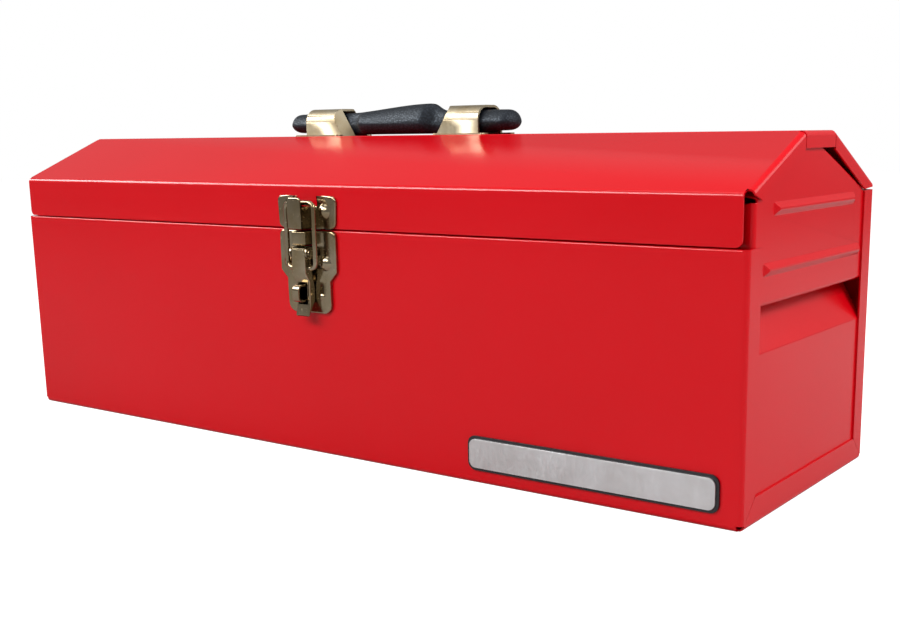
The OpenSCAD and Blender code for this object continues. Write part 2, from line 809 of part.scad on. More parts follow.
// The pin through the ears and the lever, peened over at both ends
module latch_fulcrum_pin() {
    ear_out = hook_w / 2 + latch_gap + latch_t;
    color(plated) {
        bar_x(-ear_out - 0.9, 2 * ear_out + 1.8, pivot_y, fulcrum_z, fulcrum_r);
        for (side = [0, 1]) mirror([side, 0, 0]) {
            bar_x(ear_out + 0.1, 0.8, pivot_y, fulcrum_z, fulcrum_r + 0.6);
        }
    }
}

// Outline of the staple in (Y, Z): a bar with rounded outer corners, moved in by d
module staple_outline(d) {
    half = staple_eye_h / 2 + latch_t - d;
    r = staple_r + latch_t - d;
    nose = front_y - staple_proud + d;
    root = front_y - base_proud + latch_t;
    translate([nose + r, staple_z - half]) square([root - nose - r, 2 * half]);
    translate([nose, staple_z - half + r]) square([r, 2 * (half - r)]);
    for (side = [-1, 1]) translate([nose + r, staple_z + side * (half - r)]) circle(r);
}

// Slots in the base plate for the staple's legs
module staple_feet(d) {
    for (side = [-1, 1]) {
        leg_z = staple_z + side * (staple_eye_h + latch_t) / 2;
        translate([-staple_w / 2 - d, front_y - base_proud - past, leg_z - latch_t / 2 - d]) {
            cube([staple_w + 2 * d, latch_t + 2 * past, latch_t + 2 * d]);
        }
    }
}

// The padlock staple: a strip bent round an eye, with its legs set through the base plate
module padlock_staple() {
    color(plated) along_x(-staple_w / 2, staple_w) difference() {
        staple_outline(0);
        staple_outline(latch_t);
        translate([front_y - base_proud + latch_t - past / 2, staple_z - staple_eye_h / 2]) {
            square([base_proud, staple_eye_h]);
        }
    }
}

// Side outline of the lever, in (Y, Z)
module lever_side() {
    face = front_y - lever_proud;
    low = front_y - lever_low_proud;
    back = pivot_y + lever_wall;
    low_back = front_y - base_proud - lever_rest;
    tip = fulcrum_z - lever_l;
    knee = bail_z - 2.6;
    heel = knee - 4.5;
    polygon([[face + 0.8, fulcrum_z + 2.5], [face, fulcrum_z + 1.6], [face, knee],
        [low, heel], [low, tip + 6], [low - tip_flare, tip + 0.6], [low - tip_flare + 0.2, tip],
        [low - tip_flare + 1, tip], [low + latch_t + 0.6, tip + 5], [low_back, tip + 8],
        [low_back, heel - 2], [back, heel + 2], [back, fulcrum_z + 1.6],
        [back - 1, fulcrum_z + 2.5]]);
}

// The lever: a channel pressed round the two pivots, which runs down to a finger tip
module latch_lever() {
    half = hook_w / 2;
    tip = fulcrum_z - lever_l;
    color(plated) difference() {
        along_x(-half, hook_w) lever_side();
        along_x(-lever_in, 2 * lever_in) intersection() {
            translate([latch_t, 0]) lever_side();
            translate([front_y - 2 * lever_proud, tip + 6]) square([4 * lever_proud, lever_l]);
        }
        bar_x(-base_w / 2, base_w, pivot_y, fulcrum_z, fulcrum_r + pivot_fit);
        bar_x(-base_w / 2, base_w, pivot_y, bail_z, bail_wire / 2 + pivot_fit);
        translate([-slot_half_w, front_y - 2 * lever_proud, staple_z - slot_half_h]) {
            cube([2 * slot_half_w, 4 * lever_proud, 2 * slot_half_h]);
        }
    }
}

// The bail: one wire with a crossbar at the top and two short ends in the lever
module latch_bail() {
    r = bail_wire / 2;
    bend = 1.9;
    half = bail_w / 2;
    stub = lever_in - 1.4;
    color(plated) for (side = [0, 1]) mirror([side, 0, 0]) {
        bar_x(0, half - bend - r, pivot_y, bar_z, r);
        bar_x(stub, half - bend - r - stub, pivot_y, bail_z, r);
        translate([half, pivot_y, bail_z + bend + r]) cylinder(h = bail_l - 2 * (bend + r), r = r);
        wire_corner(half, bar_z, 0, bend + r, r);
        wire_corner(half, bail_z, 270, bend + r, r);
    }
}

// A quarter turn of wire that ends on the leg at x and on the bar at height z
module wire_corner(x, z, from, turn_r, r) {
    centre_z = from == 0 ? z - turn_r : z + turn_r;
    translate([x - turn_r, pivot_y, centre_z]) rotate([90, 0, 0]) rotate([0, 0, from]) {
        rotate_extrude(angle = 90) translate([turn_r, 0]) circle(r);
    }
}

// Outline of the keeper plate, in (X, Z), moved in by d: two wings with a notch between them
module keeper_outline(d) {
    half = keeper_w / 2 - d;
    low_half = half - 0.5;
    top = keeper_top - d;
    bottom = skirt_low + d;
    r = 3 - d / 2;
    notch = keeper_notch_w / 2 + d;
    floor_z = keeper_top - keeper_notch_h - d;
    difference() {
        union() {
            for (side = [-1, 1]) {
                translate([side * (half - r), top - r]) circle(r);
                translate([side * (low_half - r), bottom + r]) circle(r);
            }
            translate([-half + r, top - 2 * r]) square([2 * (half - r), 2 * r]);
            polygon([[-half, top - r], [half, top - r], [low_half, bottom + r],
                [-low_half, bottom + r]]);
            translate([-low_half + r, bottom]) square([2 * (low_half - r), 2 * r]);
        }
        translate([-notch, floor_z]) square([2 * notch, keeper_notch_h + d + past]);
    }
}

// The keeper: a pressed plate on the skirt, with a boxed hook whose lip holds the crossbar
module keeper_plate() {
    half = hook_w / 2;
    hook_y = front_y - hook_proud;
    depth = hook_proud - keeper_proud + latch_t / 2;
    color(plated) difference() {
        union() {
            difference() {
                along_front(front_y, keeper_proud) keeper_outline(0);
                along_front(front_y + past, keeper_proud - latch_t + past) keeper_outline(latch_t);
            }
            rivet_seats(keeper_rivet_z, front_y, keeper_proud - latch_t);
            translate([-half, hook_y, skirt_low]) cube([hook_w, depth, rest_z - skirt_low]);
            along_front(hook_y + latch_t, latch_t) {
                translate([-half, skirt_low]) square([hook_w, lip_z - skirt_low - 2]);
                translate([-half + 2, skirt_low]) square([hook_w - 4, lip_z - skirt_low]);
                for (side = [-1, 1]) translate([side * (half - 2), lip_z - 2]) circle(2);
            }
        }
        translate([-half + latch_t, hook_y + latch_t, skirt_low + latch_t]) {
            cube([hook_w - 2 * latch_t, depth + base_proud, rest_z - skirt_low]);
        }
        rivet_holes(keeper_rivet_z, front_y);
    }
}

module keeper_rivets() {
    color(plated) for (side = [-1, 1]) {
        rivet(side * rivet_x, keeper_rivet_z, keeper_proud, front_y);
    }
}

// ---------- handle ----------

// Arch of a bracket in (Y, Z), moved in by d
module arch(d) {
    half = bracket_half_w - d;
    top = ridge_h + bracket_h - d;
    r = bracket_half_w * 0.7 - d;
    translate([-half, ridge_h - d]) square([2 * half, bracket_h - r]);
    translate([-half + r, ridge_h - d]) square([2 * (half - r), bracket_h]);
    for (side = [-1, 1]) translate([side * (half - r), top - r]) circle(r);
}

// Plan of a bracket in (X, Y): straight sides that turn in to the nose, which is longer by more
function hood_plan(more) =
    let (full = bracket_half_w, turn = (full - neck_half) * (nose_l + more) / nose_l)
    [[bracket_l + 4 * past, full], [0, full], [-nose_l - more, full - turn],
        [-nose_l - more, turn - full], [0, -full], [bracket_l + 4 * past, -full]];

// A bracket's solid form: the arch within the leaning plan, both moved in by d
module hood(d, more) {
    intersection() {
        along_x(nose_low_x - 2 * past, bracket_x1 - nose_low_x + 4 * past) arch(d);
        translate([bracket_x0, 0, ridge_h]) rotate([0, bracket_lean, 0]) {
            translate([0, 0, -bracket_h]) linear_extrude(4 * bracket_h) {
                polygon(inset(hood_plan(more), d));
            }
        }
    }
}

// Slots in the ridge for one bracket's tabs
module bracket_slots() {
    for (side = [-1, 1]) {
        translate([tab_x - tab_l / 2 - tab_fit,
            side * (bracket_half_w + bracket_flange / 2) - bracket_t / 2 - tab_fit,
            ridge_h - sheet_t - past]) {
            cube([tab_l + 2 * tab_fit, bracket_t + 2 * tab_fit, sheet_t + 2 * past]);
        }
    }
}

// A bracket: a hood over the grip's end, whose nose closes round the grip's neck, with two base
// flanges tabbed to the ridge
module handle_bracket() {
    color(plated) {
        difference() {
            intersection() {
                hood(0, 0);
                translate([nose_low_x - past, -bracket_half_w, ridge_h]) {
                    cube([bracket_x1 - nose_low_x + past, 2 * bracket_half_w, bracket_h]);
                }
            }
            hood(bracket_t, 0);
            along_x(nose_low_x - 2 * past, nose_top_x - nose_low_x + 2 * past) {
                translate([-neck_half, ridge_h - past]) {
                    square([2 * neck_half, bracket_h + past - bracket_t]);
                }
            }
        }
        for (side = [0, 1]) mirror([0, side, 0]) bracket_foot();
    }
}

// A base flange outside the arch, with a tab through the ridge that is clinched under it
module bracket_foot() {
    y0 = bracket_half_w - bracket_t / 2;
    tab_y = bracket_half_w + bracket_flange / 2;
    r = bracket_flange / 2;
    translate([0, 0, ridge_h]) linear_extrude(foot_t) {
        translate([bracket_x0 + r, y0]) {
            square([bracket_l + bracket_toe - 2 * r, bracket_flange + bracket_t / 2]);
        }
        for (x = [bracket_x0 + r, bracket_x1 + bracket_toe - r]) {
            translate([x, bracket_half_w + bracket_flange - r]) circle(r);
            translate([x - r, y0]) square([2 * r, bracket_t / 2 + bracket_flange - r]);
        }
    }
    translate([tab_x - tab_l / 2, tab_y - bracket_t / 2, ridge_h - sheet_t - bracket_t]) {
        cube([tab_l, bracket_t, sheet_t + bracket_t]);
    }
    translate([tab_x - tab_l / 2, tab_y - 4, ridge_h - sheet_t - bracket_t]) {
        cube([tab_l, 4, bracket_t]);
    }
}

module handle_bracket_right() {
    translate([handle_x, 0, 0]) handle_bracket();
}

module handle_bracket_left() {
    translate([handle_x, 0, 0]) mirror([1, 0, 0]) handle_bracket();
}

// Smooth step from 0 to 1
function eased(t) = let (u = min(1, max(0, t))) u * u * (3 - 2 * u);

// Rise of the grip's top at x, from 0 at the brackets to 1 at its highest point: a long slope
// up from the left, and a short one down to the right bracket
slope_x0 = nose_low_x + bracket_t + 8;
fall_x = nose_low_x + bracket_t + 3;
function swell(x) = x < grip_peak_x ? eased((x + slope_x0) / (slope_x0 + grip_peak_x))
    : eased((fall_x - x) / (fall_x - grip_peak_x));

// How far the grip is narrowed to its neck at x: 1 in the neck and 0 beyond it
neck_in = nose_low_x - grip_play - bracket_gap;
neck_out = nose_top_x + grip_play + bracket_gap;
neck_run = 5;
function necked(x) = x < neck_in ? 1 - eased((neck_in - x) / neck_run)
    : x > neck_out ? 1 - eased((x - neck_out) / neck_run) : 1;

// Half sizes of the grip's section at x, and how much its rounded tip shrinks it
tip_l = 6;
function tip_share(x) =
    let (u = (abs(x) - (grip_l / 2 - tip_l)) / tip_l)
    u <= 0 ? 1 : sqrt(max(0, 1 - u * u));
function grip_full_w(x) = abs(x) < neck_out ? grip_mid_w : grip_end_w;
function grip_half_w(x) =
    (grip_full_w(x) + necked(abs(x)) * (grip_neck_w - grip_full_w(x))) / 2;
function grip_top(x) = ridge_h + grip_end_h + swell(x) * (grip_mid_h - grip_end_h);
function grip_low(x) = ridge_h + grip_gap + 1.2 * eased((abs(x) - bracket_x1) / tip_l);

// One ring of the grip's skin: a rounded section with a crease along each side
grip_sides = 28;
crease_share = 0.2;
function rounded_cos(a) = sign(cos(a)) * pow(abs(cos(a)), 0.72);
function rounded_sin(a) = sign(sin(a)) * pow(abs(sin(a)), 0.85);
function grip_ring(x) =
    let (s = tip_share(x), mid = ridge_h + grip_crease_h, up = grip_top(x) - mid,
        down = mid - grip_low(x))
    [for (k = [0:grip_sides - 1])
        let (a = 360 * k / grip_sides, rise = rounded_sin(a))
        [x, s * grip_half_w(x) * rounded_cos(a) * (1 - crease_share * abs(rise)),
            mid + s * rise * (rise > 0 ? up : down)]];

// Places of the rings: close together on the tips and necks, further apart between them
tip_rings = 7;
neck_rings = 22;
mid_rings = 8;
neck_from = neck_in - neck_run - 2;
function tip_x(k) = grip_l / 2 - tip_l + tip_l * sin(84 * k / tip_rings);
function neck_x(k) = neck_from + (grip_l / 2 - tip_l - neck_from) * k / neck_rings;
function ring_places() =
    concat([for (k = [tip_rings:-1:1]) -tip_x(k)],
        [for (k = [neck_rings:-1:0]) -neck_x(k)],
        [for (k = [1:mid_rings - 1]) neck_from * (2 * k / mid_rings - 1)],
        [for (k = [0:neck_rings]) neck_x(k)],
        [for (k = [1:tip_rings]) tip_x(k)]);

// The moulded grip, with a cavity for its steel core
module handle_grip() {
    places = ring_places();
    n = len(places);
    points = [for (x = places) each grip_ring(x)];
    sides = [for (i = [0:n - 2], k = [0:grip_sides - 1])
        [i * grip_sides + k, (i + 1) * grip_sides + k,
            (i + 1) * grip_sides + (k + 1) % grip_sides, i * grip_sides + (k + 1) % grip_sides]];
    first = [for (k = [0:grip_sides - 1]) k];
    last = [for (k = [grip_sides - 1:-1:0]) (n - 1) * grip_sides + k];
    color(black) translate([handle_x, 0, 0]) difference() {
        polyhedron(points = points, faces = concat(sides, [first], [last]));
        core_box(0.1);
    }
}

module core_box(d) {
    translate([-core_half_l - d, -core_w / 2 - d, ridge_h + grip_end_h / 2 - core_t / 2 - d]) {
        cube([2 * (core_half_l + d), core_w + 2 * d, core_t + 2 * d]);
    }
}

// The spring steel strap moulded into the grip
module handle_core() {
    color(steel) translate([handle_x, 0, 0]) core_box(0);
}

// ---------- tray ----------

// The tray's flat floor, let in between its walls
module tray_floor() {
    color(enamel) translate([-tray_x, tray_t - tray_d / 2, tray_z]) {
        cube([2 * tray_x, tray_d - 2 * tray_t, tray_t]);
    }
}

// A long wall of the tray: a plate whose rim is rolled and hemmed inward
module tray_wall_back() {
    half = tray_d / 2;
    rim = tray_rim_z - tray_t;
    color(enamel) difference() {
        along_x(-tray_x, 2 * tray_x) {
            translate([half - tray_t, tray_z]) square([tray_t, rim - tray_z]);
            translate([half - tray_t, rim]) circle(tray_t);
            translate([half - 2 * tray_t, tray_rim_z - tray_hem]) {
                square([tray_t, tray_hem - tray_t]);
            }
        }
        strap_holes();
    }
}

module tray_wall_front() {
    mirror([0, 1, 0]) tray_wall_back();
}

// Holes for the handle strap's rivets
module strap_holes() {
    for (side = [-1, 1], x = [-1, 1]) {
        translate([x * strap_w / 4, side * (tray_d / 2 - 2), strap_rivet_z]) rotate([90, 0, 0]) {
            cylinder(h = 12, r = rivet_shank + rivet_fit, center = true);
        }
    }
}

// The tray's right end: a plate between the walls, with turned edges that face the middle
module tray_end_right() {
    half = tray_d / 2 - 2 * tray_t;
    low = tray_z + tray_t;
    points = [[-half, low], [half, low], [half, tray_rim_z - 1], [-half, tray_rim_z - 1]];
    color(enamel) translate([tray_x, 0, 0]) rotate([90, 0, 90]) {
        pan(points, [0, 1, 2, 3], tray_lip_w, 1, tray_t);
    }
}

module tray_end_left() {
    mirror([1, 0, 0]) tray_end_right();
}

// A divider: a plate with a foot along the tray's bottom
module tray_divider_right() {
    half = tray_d / 2 - 2 * tray_t - 0.3;
    low = tray_z + tray_t;
    path = [[divider_x + divider_foot_w, low], [divider_x, low],
        [divider_x, low + divider_h]];
    color(enamel) translate([0, half, 0]) rotate([90, 0, 0]) linear_extrude(2 * half) {
        folded(backwards(path), 1, tray_t);
    }
}

module tray_divider_left() {
    mirror([1, 0, 0]) tray_divider_right();
}

// The fixed strap over the tray, riveted inside its front and back walls
module tray_handle() {
    foot = strap_rivet_z - 7;
    shoulder = tray_rim_z + strap_shoulder;
    top = ridge_h - sheet_t - strap_clear;
    path = [[-strap_y, foot], [-strap_y, shoulder], [-strap_top_w / 2, top],
        [strap_top_w / 2, top], [strap_y, shoulder], [strap_y, foot]];
    color(steel) difference() {
        along_x(-strap_w / 2, strap_w) folded(backwards(path), 2, strap_t);
        strap_holes();
    }
}

// Rivets through the strap and the tray's walls
module tray_handle_rivets() {
    inner = strap_y - strap_t;
    color(steel) for (side = [0, 1], x = [-1, 1]) mirror([0, side, 0]) {
        translate([x * strap_w / 4, tray_d / 2, strap_rivet_z]) rotate([90, 0, 0]) {
            translate([0, 0, -0.8]) cylinder(h = 0.8, r = rivet_shank + 1.2);
            translate([0, 0, -0.4]) cylinder(h = tray_d / 2 - inner + 0.8, r = rivet_shank);
            translate([0, 0, tray_d / 2 - inner]) cylinder(h = 0.8, r = rivet_shank + 1.2);
        }
    }
}

// ---------- name plate ----------

// The blank plate's dark backing, on the front panel
module name_plate_back() {
    color(black) along_front(front_y, plate_back_t) {
        translate([end_x - plate_end_gap, plate_z]) rounded_rect(plate_l, plate_h, plate_h / 4);
    }
}

// The bright face on the backing
module name_plate_face() {
    color("silver") along_front(front_y - plate_back_t, plate_face_t) {
        translate([end_x - plate_end_gap, plate_z]) {
            rounded_rect(plate_l - 2 * plate_rim, plate_h - 2 * plate_rim,
                plate_h / 4 - plate_rim / 2);
        }
    }
}

body_shell();
end_panel_right();
end_panel_left();
hinge_leaf_body();
hinge_pin();
latch_base();
latch_base_rivets();
latch_fulcrum_pin();
padlock_staple();
name_plate_back();
name_plate_face();
lid_shell();
hinge_leaf_lid();
keeper_plate();
keeper_rivets();
handle_bracket_right();
handle_bracket_left();
latch_lever();
latch_bail();
handle_grip();
handle_core();
tray_floor();
tray_wall_front();
tray_wall_back();
tray_end_right();
tray_end_left();
tray_divider_right();
tray_divider_left();
tray_handle();
tray_handle_rivets();
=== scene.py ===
import bpy
import json
import math
from mathutils import Matrix, Vector

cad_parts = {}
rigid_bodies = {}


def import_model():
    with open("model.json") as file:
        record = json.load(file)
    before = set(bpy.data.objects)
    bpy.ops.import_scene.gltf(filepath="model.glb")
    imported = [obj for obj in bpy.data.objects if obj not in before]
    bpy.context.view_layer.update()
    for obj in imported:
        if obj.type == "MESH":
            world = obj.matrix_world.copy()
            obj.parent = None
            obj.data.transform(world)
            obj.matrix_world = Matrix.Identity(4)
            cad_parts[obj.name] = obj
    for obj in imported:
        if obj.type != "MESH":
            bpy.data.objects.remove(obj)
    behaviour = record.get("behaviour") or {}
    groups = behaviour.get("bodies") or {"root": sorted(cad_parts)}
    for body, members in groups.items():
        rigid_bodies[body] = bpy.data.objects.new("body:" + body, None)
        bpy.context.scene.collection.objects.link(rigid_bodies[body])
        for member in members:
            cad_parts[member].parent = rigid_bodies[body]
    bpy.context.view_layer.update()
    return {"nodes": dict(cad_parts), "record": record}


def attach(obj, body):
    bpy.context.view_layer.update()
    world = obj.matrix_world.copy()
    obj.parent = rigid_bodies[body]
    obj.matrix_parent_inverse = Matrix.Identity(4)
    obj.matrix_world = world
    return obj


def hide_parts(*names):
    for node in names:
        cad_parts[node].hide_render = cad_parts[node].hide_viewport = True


# A hip-roof steel tool box: eased edges and finishes for each of its pieces, and the studio around it.
# Metres. X runs along the length, the front faces -Y, Z is up.

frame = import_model()
nodes = frame["nodes"]
home = {n: b for b, held in frame["record"]["behaviour"]["bodies"].items() for n in held}
slot_of = {s["node"]: s["material_slot"] for s in frame["record"]["subparts"]}


# ---------- sizes ----------

# Corners closer than this are merged, and faces that meet flatter than this are joined
same_corner = 0.000004
same_face = math.radians(0.4)
# A corner this near to a place is at it
same_place = 0.00002
# Edges sharper than this can be rolled over
sharp_edge = math.radians(50)

# How far the edges are eased: on the latch, on other small pieces, on sheets, end panels and brackets
latch_edge = 0.0001
small_edge = 0.00016
sheet_edge = 0.00022
panel_edge = 0.0003
bracket_edge = 0.0005

# The front panel's outer face, and how far the latch's faces stand out from it
front_y = -0.0725
base_proud = 0.002
keeper_proud = 0.0016
hook_proud = 0.0028
lever_proud = 0.0035
# Half the width of the lever and of the boxed hooks
latch_half = 0.0047
# The base plate: its foot, its step out to full width, and the top edge beside the bridge
foot_low_z = 0.081
foot_high_z = 0.0974
foot_rim_x = 0.0144
wide_low_z = 0.0973
wide_rim_x = 0.016
top_rim_z = 0.1179
bridge_half = 0.00465
# The keeper's wings start here
wing_x = 0.0155
# The two pivots in the lever's sides, and the round of metal that stays as it is about each
pivot_proud = 0.0062
fulcrum_z = 0.107
bail_pivot_z = 0.0993
pivot_round = 0.0019


# ---------- picking and shaping ----------

def clear_selection():
    if bpy.context.object and bpy.context.object.mode != "OBJECT":
        bpy.ops.object.mode_set(mode="OBJECT")
    bpy.ops.object.select_all(action="DESELECT")


def pick(piece):
    clear_selection()
    piece.select_set(True)
    bpy.context.view_layer.objects.active = piece


def apply_modifiers(piece):
    pick(piece)
    for name in [m.name for m in piece.modifiers]:
        bpy.ops.object.modifier_apply(modifier=name)


def even_shading(piece, angle):
    """Smooth bends beside flat faces that stay flat."""
    pick(piece)
    bpy.ops.object.shade_smooth_by_angle(angle=math.radians(angle))
    weigh = piece.modifiers.new("even", "WEIGHTED_NORMAL")
    weigh.keep_sharp = True
    weigh.weight = 100
    apply_modifiers(piece)


def ease_edges(piece, width, segments, angle):
    """Bevels every edge that is sharper than the angle."""
    ease = piece.modifiers.new("edges", "BEVEL")
    ease.width = width
    ease.segments = segments
    ease.limit_method = "ANGLE"
    ease.angle_limit = math.radians(angle)
    ease.use_clamp_overlap = True
    ease.miter_outer = "MITER_ARC"
    apply_modifiers(piece)


def roll_edges(piece, width, wanted, segments=4):
    """Rounds the sharp edges whose two ends both pass the test."""
    mesh = piece.data
    pick(piece)
    bpy.ops.object.mode_set(mode="EDIT")
    bpy.ops.mesh.select_mode(type="EDGE")
    bpy.ops.mesh.select_all(action="DESELECT")
    bpy.ops.mesh.edges_select_sharp(sharpness=sharp_edge)
    bpy.ops.object.mode_set(mode="OBJECT")
    spots = [piece.matrix_world @ v.co for v in mesh.vertices]
    for edge in mesh.edges:
        a, b = (spots[i] for i in edge.vertices)
        edge.select = edge.select and wanted(a) and wanted(b)
    bpy.ops.object.mode_set(mode="EDIT")
    bpy.ops.mesh.bevel(offset=width, offset_type="OFFSET", segments=segments, affect="EDGES",
                       clamp_overlap=False)
    bpy.ops.object.mode_set(mode="OBJECT")


def dressed_copy(node, edge=0, segments=2, angle=38, smooth=32, rims=()):
    """A merged copy of a CAD node, with its edges eased, in the node's place. Angles in degrees."""
    piece = nodes[node].copy()
    piece.data = nodes[node].data.copy()
    piece.name = node + "_dressed"
    piece.data.name = piece.name
    bpy.context.scene.collection.objects.link(piece)
    pick(piece)
    bpy.ops.object.parent_clear(type="CLEAR_KEEP_TRANSFORM")
    bpy.ops.object.mode_set(mode="EDIT")
    bpy.ops.mesh.select_all(action="SELECT")
    bpy.ops.mesh.remove_doubles(threshold=same_corner)
    bpy.ops.mesh.dissolve_limited(angle_limit=same_face)
    bpy.ops.object.mode_set(mode="OBJECT")
    for width, wanted in rims:
        roll_edges(piece, width, wanted)
    if edge:
        ease_edges(piece, edge, segments, angle)
    even_shading(piece, smooth)
    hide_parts(node)
    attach(piece, home[node])
    return piece


def finish_piece(piece, material):
    piece.data.materials.clear()
    piece.data.materials.append(material)


# ---------- node helpers ----------

def add_node(tree, kind, values=None, **settings):
    n = tree.nodes.new(kind)
    for key, value in settings.items():
        setattr(n, key, value)
    for key, value in (values or {}).items():
        n.inputs[key].default_value = value
    return n


def wire(tree, source, out, target, into):
    tree.links.new(source.outputs[out], target.inputs[into])


def emptied_tree(owner):
    owner.use_nodes = True
    owner.node_tree.nodes.clear()
    return owner.node_tree


def group_tree(name, inputs):
    """A node group with the inputs given, which puts out a colour, a roughness and a height."""
    tree = bpy.data.node_groups.new(name, "ShaderNodeTree")
    for label, kind in inputs:
        tree.interface.new_socket(label, in_out="INPUT", socket_type=kind)
    for label, kind in (("Colour", "NodeSocketColor"), ("Roughness", "NodeSocketFloat"),
                        ("Height", "NodeSocketFloat")):
        tree.interface.new_socket(label, in_out="OUTPUT", socket_type=kind)
    return tree, tree.nodes.new("NodeGroupInput"), tree.nodes.new("NodeGroupOutput")


def noise(tree, source, out, scale, detail=2.0, rough=0.5):
    n = add_node(tree, "ShaderNodeTexNoise", {"Scale": scale, "Detail": detail, "Roughness": rough})
    wire(tree, source, out, n, "Vector")
    return n


def remap(tree, source, out, low, high, to_low, to_high):
    n = add_node(tree, "ShaderNodeMapRange", {"From Min": low, "From Max": high,
                                              "To Min": to_low, "To Max": to_high})
    wire(tree, source, out, n, "Value")
    return n


def blended(tree, share, given, first, second, made):
    """The group's colour goes from its first given colour to its second."""
    blend = add_node(tree, "ShaderNodeMix", data_type="RGBA")
    wire(tree, share, "Result", blend, "Factor")
    wire(tree, given, first, blend, 6)
    wire(tree, given, second, blend, 7)
    wire(tree, blend, 2, made, "Colour")


def added(tree, first, first_out, second, second_out):
    total = add_node(tree, "ShaderNodeMath", operation="ADD")
    wire(tree, first, first_out, total, 0)
    wire(tree, second, second_out, total, 1)
    return total


# ---------- shared effects ----------

def sprayed_enamel_group():
    """Sprayed and baked enamel: slow changes of tone and gloss, and the fine orange peel of the coat."""
    tree, given, made = group_tree("sprayed_enamel", [
        ("Coordinates", "NodeSocketVector"), ("Colour", "NodeSocketColor"),
        ("Thick colour", "NodeSocketColor"), ("Gloss", "NodeSocketFloat")])
    slow = noise(tree, given, "Coordinates", 9.0, 3.0)
    share = remap(tree, slow, "Fac", 0.35, 0.7, 0.0, 0.55)
    blended(tree, share, given, "Colour", "Thick colour", made)
    handled = noise(tree, given, "Coordinates", 22.0, 4.0, 0.6)
    duller = remap(tree, handled, "Fac", 0.35, 0.75, 0.0, 0.03)
    wire(tree, added(tree, given, "Gloss", duller, "Result"), 0, made, "Roughness")
    peel = noise(tree, given, "Coordinates", 520.0, 1.0)
    wave = noise(tree, given, "Coordinates", 110.0, 1.0)
    wave_share = 2.2
    both = add_node(tree, "ShaderNodeMath", {1: wave_share}, operation="MULTIPLY_ADD")
    wire(tree, wave, "Fac", both, 0)
    wire(tree, peel, "Fac", both, 2)
    wire(tree, both, 0, made, "Height")
    return tree


def bright_plating_group():
    """Plating on pressed strip: warm and cool tones, fine rolling marks and dull specks."""
    tree, given, made = group_tree("bright_plating", [
        ("Coordinates", "NodeSocketVector"), ("Warm", "NodeSocketColor"),
        ("Cool", "NodeSocketColor"), ("Gloss", "NodeSocketFloat")])
    slow = noise(tree, given, "Coordinates", 60.0, 3.0, 0.6)
    share = remap(tree, slow, "Fac", 0.35, 0.65, 0.0, 1.0)
    blended(tree, share, given, "Warm", "Cool", made)
    along_strip = (900.0, 900.0, 60.0)
    stretch = add_node(tree, "ShaderNodeMapping", {"Scale": along_strip})
    wire(tree, given, "Coordinates", stretch, "Vector")
    marks = noise(tree, stretch, "Vector", 1.0, 3.0, 0.65)
    specks = noise(tree, given, "Coordinates", 850.0, 2.0)
    dull = remap(tree, specks, "Fac", 0.55, 0.75, 0.0, 0.14)
    streaks = remap(tree, marks, "Fac", 0.3, 0.7, -0.03, 0.05)
    wear_marks = added(tree, dull, "Result", streaks, "Result")
    wire(tree, added(tree, given, "Gloss", wear_marks, 0), 0, made, "Roughness")
    wire(tree, marks, "Fac", made, "Height")
    return tree


def moulded_grain_group():
    """Moulded leather grain: rounded pebbles with fine creases between them."""
    tree, given, made = group_tree("moulded_grain", [
        ("Coordinates", "NodeSocketVector"), ("Scale", "NodeSocketFloat"),
        ("Raised colour", "NodeSocketColor"), ("Crease colour", "NodeSocketColor")])
    bend = noise(tree, given, "Coordinates", 260.0, 2.0)
    wander = (0.0009, 0.0009, 0.0009)
    shift = add_node(tree, "ShaderNodeVectorMath", {1: wander}, operation="MULTIPLY_ADD")
    wire(tree, bend, "Color", shift, 0)
    wire(tree, given, "Coordinates", shift, 2)
    cells = add_node(tree, "ShaderNodeTexVoronoi", feature="SMOOTH_F1")
    cells.inputs["Smoothness"].default_value = 0.35
    wire(tree, shift, 0, cells, "Vector")
    wire(tree, given, "Scale", cells, "Scale")
    height = remap(tree, cells, "Distance", 0.1, 0.75, 1.0, 0.0)
    height.interpolation_type = "SMOOTHSTEP"
    blended(tree, height, given, "Crease colour", "Raised colour", made)
    wire(tree, remap(tree, height, "Result", 0.0, 1.0, 0.62, 0.4), "Result", made, "Roughness")
    wire(tree, height, "Result", made, "Height")
    return tree


sprayed_enamel = sprayed_enamel_group()
bright_plating = bright_plating_group()
moulded_grain = moulded_grain_group()


# ---------- materials ----------

def finish_material(name, group, given, shader, bump, depth):
    """A material whose colour, roughness and relief come from a shared group."""
    material = bpy.data.materials.new(name)
    tree = emptied_tree(material)
    out = tree.nodes.new("ShaderNodeOutputMaterial")
    body = add_node(tree, "ShaderNodeBsdfPrincipled", shader)
    wire(tree, body, "BSDF", out, "Surface")
    where = tree.nodes.new("ShaderNodeTexCoord")
    effect = add_node(tree, "ShaderNodeGroup", given, node_tree=group)
    wire(tree, where, "Object", effect, "Coordinates")
    wire(tree, effect, "Colour", body, "Base Color")
    wire(tree, effect, "Roughness", body, "Roughness")
    relief = add_node(tree, "ShaderNodeBump", {"Strength": bump, "Distance": depth})
    wire(tree, effect, "Height", relief, "Height")
    wire(tree, relief, "Normal", body, "Normal")
    return material


